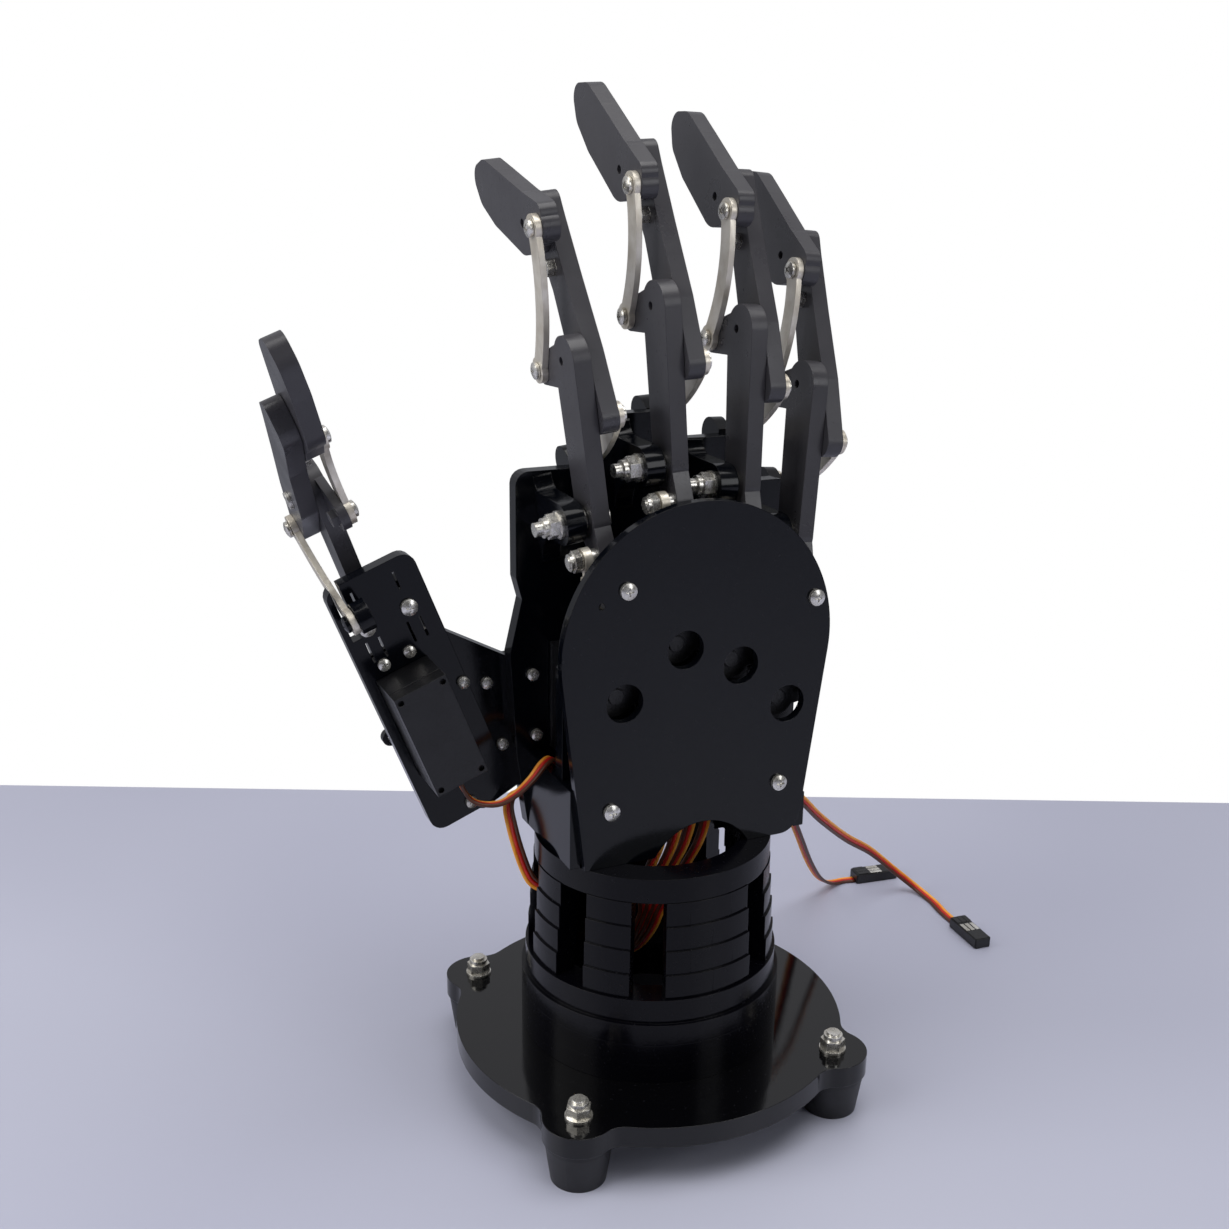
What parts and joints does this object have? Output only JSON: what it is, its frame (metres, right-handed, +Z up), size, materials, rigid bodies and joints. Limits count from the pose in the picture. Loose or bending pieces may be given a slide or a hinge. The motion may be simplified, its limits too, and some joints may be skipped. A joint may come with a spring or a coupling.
{
  "type": "dexterous robot hand",
  "caption": "Right robot hand of glossy black plates on a round turret base, fingers closed by servos through push rods and crossed links.",
  "frame": {"origin": "centre of the base on the surface it stands on", "axes": "+Z up through the turret, +X along the knuckle row away from the thumb, -Y the back of the hand"},
  "size_m": [0.3252, 0.177, 0.3693],
  "materials": {
    "black_acrylic": "polished black acrylic sheet",
    "foot_rubber": "moulded rubber",
    "servo_case": "fine moulded nylon",
    "plated_steel": "zinc plated, lightly worn",
    "nickel_link": "nickel plated strip",
    "lead_sleeve": "soft insulated servo lead",
    "plug_plastic": "moulded housing"
  },
  "bodies": {
    "base": {"base_plate": "black_acrylic", "rubber_feet": "foot_rubber", "m5_bolts": "plated_steel", "turret_rings": "black_acrylic", "turret_tiles": "black_acrylic", "palm_plate": "black_acrylic", "servo_plate": "black_acrylic", "back_cover": "black_acrylic", "side_walls": "black_acrylic", "knuckle_ears": "black_acrylic", "link_brackets": "black_acrylic", "cover_standoffs": "plated_steel", "m3_screws": "plated_steel", "servo_index": "servo_case", "servo_middle": "servo_case", "servo_ring": "servo_case", "servo_little": "servo_case", "servo_thumb": "servo_case", "thumb_plate": "black_acrylic", "thumb_bridge": "black_acrylic", "thumb_lead": "lead_sleeve", "notch_leads": "lead_sleeve", "side_lead_a": "lead_sleeve", "side_lead_b": "lead_sleeve", "lead_plugs": "plug_plastic"},
    "index_proximal": {"index_proximal": "black_acrylic"},
    "index_intermediate": {"index_intermediate": "black_acrylic"},
    "index_distal": {"index_distal": "black_acrylic"},
    "index_front_link": {"index_front_link": "nickel_link"},
    "index_rear_link": {"index_rear_link": "nickel_link"},
    "index_pushrod": {"index_pushrod": "nickel_link"},
    "index_horn": {"index_horn": "servo_case"},
    "middle_proximal": {"middle_proximal": "black_acrylic"},
    "middle_intermediate": {"middle_intermediate": "black_acrylic"},
    "middle_distal": {"middle_distal": "black_acrylic"},
    "middle_front_link": {"middle_front_link": "nickel_link"},
    "middle_rear_link": {"middle_rear_link": "nickel_link"},
    "middle_pushrod": {"middle_pushrod": "nickel_link"},
    "middle_horn": {"middle_horn": "servo_case"},
    "ring_proximal": {"ring_proximal": "black_acrylic"},
    "ring_intermediate": {"ring_intermediate": "black_acrylic"},
    "ring_distal": {"ring_distal": "black_acrylic"},
    "ring_front_link": {"ring_front_link": "nickel_link"},
    "ring_rear_link": {"ring_rear_link": "nickel_link"},
    "ring_pushrod": {"ring_pushrod": "nickel_link"},
    "ring_horn": {"ring_horn": "servo_case"},
    "little_proximal": {"little_proximal": "black_acrylic"},
    "little_intermediate": {"little_intermediate": "black_acrylic"},
    "little_distal": {"little_distal": "black_acrylic"},
    "little_front_link": {"little_front_link": "nickel_link"},
    "little_rear_link": {"little_rear_link": "nickel_link"},
    "little_pushrod": {"little_pushrod": "nickel_link"},
    "little_horn": {"little_horn": "servo_case"},
    "thumb_proximal": {"thumb_proximal": "black_acrylic"},
    "thumb_intermediate": {"thumb_intermediate": "black_acrylic"},
    "thumb_distal": {"thumb_distal": "black_acrylic"},
    "thumb_front_link": {"thumb_front_link": "nickel_link"},
    "thumb_rear_link": {"thumb_rear_link": "nickel_link"},
    "thumb_pushrod": {"thumb_pushrod": "nickel_link"},
    "thumb_horn": {"thumb_horn": "servo_case"}
  },
  "joints": [
    {"name": "index_knuckle", "type": "hinge", "parent": "base", "child": "index_proximal", "pos_m": [-0.03, -0.002, 0.225], "axis": [-0.9932, 0, -0.1167], "range_deg": [-6, 14]},
    {"name": "index_middle_joint", "type": "hinge", "parent": "index_proximal", "child": "index_intermediate", "pos_m": [-0.0363, 0.00349, 0.27865], "axis": [-0.9932, 0, -0.1167], "range_deg": [-8.08, 18.32]},
    {"name": "index_tip_joint", "type": "hinge", "parent": "index_intermediate", "child": "index_distal", "pos_m": [-0.04143, 0.02552, 0.32234], "axis": [-0.9932, 0, -0.1167], "range_deg": [-9.4, 21.4]},
    {"name": "index_front_pivot", "type": "hinge", "parent": "index_proximal", "child": "index_front_link", "pos_m": [-0.03571, 0.02047, 0.27365], "axis": [-0.9932, 0, -0.1167], "range_deg": [-7.72, 17.48]},
    {"name": "index_rear_pivot", "type": "hinge", "parent": "base", "child": "index_rear_link", "pos_m": [-0.0314, 0.0325, 0.23692], "axis": [-0.9932, 0, -0.1167], "range_deg": [-3.76, 8.24]},
    {"name": "index_rod_pivot", "type": "hinge", "parent": "index_proximal", "child": "index_pushrod", "pos_m": [-0.02862, -0.00923, 0.21325], "axis": [-0.9932, 0, -0.1167], "range_deg": [-17.2, 7.6]},
    {"name": "index_servo_shaft", "type": "hinge", "parent": "base", "child": "index_horn", "pos_m": [-0.024, -0.015, 0.1644], "axis": [0, 1, 0], "range_deg": [-3.76, 8.24]},
    {"name": "middle_knuckle", "type": "hinge", "parent": "base", "child": "middle_proximal", "pos_m": [-0.0006, -0.002, 0.242], "axis": [-0.9986, 0, -0.0523], "range_deg": [-6, 14]},
    {"name": "middle_middle_joint", "type": "hinge", "parent": "middle_proximal", "child": "middle_intermediate", "pos_m": [-0.00343, 0.00349, 0.29595], "axis": [-0.9986, 0, -0.0523], "range_deg": [-8.08, 18.32]},
    {"name": "middle_tip_joint", "type": "hinge", "parent": "middle_intermediate", "child": "middle_distal", "pos_m": [-0.00573, 0.02552, 0.33988], "axis": [-0.9986, 0, -0.0523], "range_deg": [-9.4, 21.4]},
    {"name": "middle_front_pivot", "type": "hinge", "parent": "middle_proximal", "child": "middle_front_link", "pos_m": [-0.00316, 0.02047, 0.29091], "axis": [-0.9986, 0, -0.0523], "range_deg": [-6.88, 15.52]},
    {"name": "middle_rear_pivot", "type": "hinge", "parent": "base", "child": "middle_rear_link", "pos_m": [-0.00123, 0.0325, 0.25398], "axis": [-0.9986, 0, -0.0523], "range_deg": [-3.76, 8.24]},
    {"name": "middle_rod_pivot", "type": "hinge", "parent": "middle_proximal", "child": "middle_pushrod", "pos_m": [0.00002, -0.00923, 0.23019], "axis": [-0.9986, 0, -0.0523], "range_deg": [-17.2, 7.6]},
    {"name": "middle_servo_shaft", "type": "hinge", "parent": "base", "child": "middle_horn", "pos_m": [-0.0009, -0.015, 0.181], "axis": [0, 1, 0], "range_deg": [-3.76, 8.24]},
    {"name": "ring_knuckle", "type": "hinge", "parent": "base", "child": "ring_proximal", "pos_m": [0.0283, -0.002, 0.233], "axis": [-0.9994, 0, 0.0349], "range_deg": [-6, 14]},
    {"name": "ring_middle_joint", "type": "hinge", "parent": "ring_proximal", "child": "ring_intermediate", "pos_m": [0.03019, 0.00349, 0.28699], "axis": [-0.9994, 0, 0.0349], "range_deg": [-8.08, 18.32]},
    {"name": "ring_tip_joint", "type": "hinge", "parent": "ring_intermediate", "child": "ring_distal", "pos_m": [0.03172, 0.02552, 0.33095], "axis": [-0.9994, 0, 0.0349], "range_deg": [-9.4, 21.4]},
    {"name": "ring_front_pivot", "type": "hinge", "parent": "ring_proximal", "child": "ring_front_link", "pos_m": [0.03001, 0.02047, 0.28195], "axis": [-0.9994, 0, 0.0349], "range_deg": [-6.88, 15.52]},
    {"name": "ring_rear_pivot", "type": "hinge", "parent": "base", "child": "ring_rear_link", "pos_m": [0.02872, 0.0325, 0.24499], "axis": [-0.9994, 0, 0.0349], "range_deg": [-3.76, 8.24]},
    {"name": "ring_rod_pivot", "type": "hinge", "parent": "ring_proximal", "child": "ring_pushrod", "pos_m": [0.02789, -0.00923, 0.22118], "axis": [-0.9994, 0, 0.0349], "range_deg": [-17.2, 7.6]},
    {"name": "ring_servo_shaft", "type": "hinge", "parent": "base", "child": "ring_horn", "pos_m": [0.0212, -0.015, 0.1725], "axis": [0, 1, 0], "range_deg": [-8.24, 3.76]},
    {"name": "little_knuckle", "type": "hinge", "parent": "base", "child": "little_proximal", "pos_m": [0.0513, -0.002, 0.2125], "axis": [-0.9962, 0, 0.0872], "range_deg": [-6, 14]},
    {"name": "little_middle_joint", "type": "hinge", "parent": "little_proximal", "child": "little_intermediate", "pos_m": [0.05601, 0.00349, 0.26632], "axis": [-0.9962, 0, 0.0872], "range_deg": [-8.08, 18.32]},
    {"name": "little_tip_joint", "type": "hinge", "parent": "little_intermediate", "child": "little_distal", "pos_m": [0.05984, 0.02552, 0.31014], "axis": [-0.9962, 0, 0.0872], "range_deg": [-9.4, 21.4]},
    {"name": "little_front_pivot", "type": "hinge", "parent": "little_proximal", "child": "little_front_link", "pos_m": [0.05557, 0.02047, 0.26129], "axis": [-0.9962, 0, 0.0872], "range_deg": [-6.88, 15.52]},
    {"name": "little_rear_pivot", "type": "hinge", "parent": "base", "child": "little_rear_link", "pos_m": [0.05235, 0.0325, 0.22445], "axis": [-0.9962, 0, 0.0872], "range_deg": [-3.76, 8.24]},
    {"name": "little_rod_pivot", "type": "hinge", "parent": "little_proximal", "child": "little_pushrod", "pos_m": [0.05027, -0.00923, 0.20072], "axis": [-0.9962, 0, 0.0872], "range_deg": [-17.76, 7.84]},
    {"name": "little_servo_shaft", "type": "hinge", "parent": "base", "child": "little_horn", "pos_m": [0.0411, -0.015, 0.1552], "axis": [0, 1, 0], "range_deg": [-7.96, 3.64]},
    {"name": "thumb_knuckle", "type": "hinge", "parent": "base", "child": "thumb_proximal", "pos_m": [-0.0915, 0.046, 0.1874], "axis": [0.9304, 0, 0.3665], "range_deg": [-3, 11]},
    {"name": "thumb_middle_joint", "type": "hinge", "parent": "thumb_proximal", "child": "thumb_intermediate", "pos_m": [-0.11088, 0.03369, 0.23661], "axis": [0.9304, 0, 0.3665], "range_deg": [-4.48, 15.36]},
    {"name": "thumb_tip_joint", "type": "hinge", "parent": "thumb_intermediate", "child": "thumb_distal", "pos_m": [-0.12304, -0.00264, 0.26747], "axis": [0.9304, 0, 0.3665], "range_deg": [-8.8, 31.2]},
    {"name": "thumb_front_pivot", "type": "hinge", "parent": "thumb_proximal", "child": "thumb_front_link", "pos_m": [-0.10826, 0.01749, 0.22995], "axis": [0.9304, 0, 0.3665], "range_deg": [-1.33, 3.81]},
    {"name": "thumb_rear_pivot", "type": "hinge", "parent": "base", "child": "thumb_rear_link", "pos_m": [-0.0959, 0.0115, 0.19856], "axis": [0.9304, 0, 0.3665], "range_deg": [-2.89, 9.53]},
    {"name": "thumb_rod_pivot", "type": "hinge", "parent": "thumb_proximal", "child": "thumb_pushrod", "pos_m": [-0.08754, 0.05468, 0.17734], "axis": [0.9304, 0, 0.3665], "range_deg": [-14.04, 4.12]},
    {"name": "thumb_servo_shaft", "type": "hinge", "parent": "base", "child": "thumb_horn", "pos_m": [-0.07896, 0.037, 0.14358], "axis": [0, 1, 0], "range_deg": [-12.39, 3.67]}
  ],
  "couplings": [
    {"joint": "index_middle_joint", "follows": "index_knuckle", "ratio": 1.28},
    {"joint": "index_tip_joint", "follows": "index_knuckle", "ratio": 1.5},
    {"joint": "index_front_pivot", "follows": "index_knuckle", "ratio": 1.22},
    {"joint": "index_rear_pivot", "follows": "index_knuckle", "ratio": 0.56},
    {"joint": "index_rod_pivot", "follows": "index_knuckle", "ratio": -1.2},
    {"joint": "index_servo_shaft", "follows": "index_knuckle", "ratio": 0.56},
    {"joint": "middle_middle_joint", "follows": "middle_knuckle", "ratio": 1.28},
    {"joint": "middle_tip_joint", "follows": "middle_knuckle", "ratio": 1.5},
    {"joint": "middle_front_pivot", "follows": "middle_knuckle", "ratio": 1.08},
    {"joint": "middle_rear_pivot", "follows": "middle_knuckle", "ratio": 0.56},
    {"joint": "middle_rod_pivot", "follows": "middle_knuckle", "ratio": -1.2},
    {"joint": "middle_servo_shaft", "follows": "middle_knuckle", "ratio": 0.56},
    {"joint": "ring_middle_joint", "follows": "ring_knuckle", "ratio": 1.28},
    {"joint": "ring_tip_joint", "follows": "ring_knuckle", "ratio": 1.5},
    {"joint": "ring_front_pivot", "follows": "ring_knuckle", "ratio": 1.08},
    {"joint": "ring_rear_pivot", "follows": "ring_knuckle", "ratio": 0.56},
    {"joint": "ring_rod_pivot", "follows": "ring_knuckle", "ratio": -1.2},
    {"joint": "ring_servo_shaft", "follows": "ring_knuckle", "ratio": -0.56},
    {"joint": "little_middle_joint", "follows": "little_knuckle", "ratio": 1.28},
    {"joint": "little_tip_joint", "follows": "little_knuckle", "ratio": 1.5},
    {"joint": "little_front_pivot", "follows": "little_knuckle", "ratio": 1.08},
    {"joint": "little_rear_pivot", "follows": "little_knuckle", "ratio": 0.56},
    {"joint": "little_rod_pivot", "follows": "little_knuckle", "ratio": -1.24},
    {"joint": "little_servo_shaft", "follows": "little_knuckle", "ratio": -0.54},
    {"joint": "thumb_middle_joint", "follows": "thumb_knuckle", "ratio": 1.36},
    {"joint": "thumb_tip_joint", "follows": "thumb_knuckle", "ratio": 2.8},
    {"joint": "thumb_front_pivot", "follows": "thumb_knuckle", "ratio": 0.31},
    {"joint": "thumb_rear_pivot", "follows": "thumb_knuckle", "ratio": 0.83},
    {"joint": "thumb_rod_pivot", "follows": "thumb_knuckle", "ratio": -1.24},
    {"joint": "thumb_servo_shaft", "follows": "thumb_knuckle", "ratio": -1.09}
  ]
}
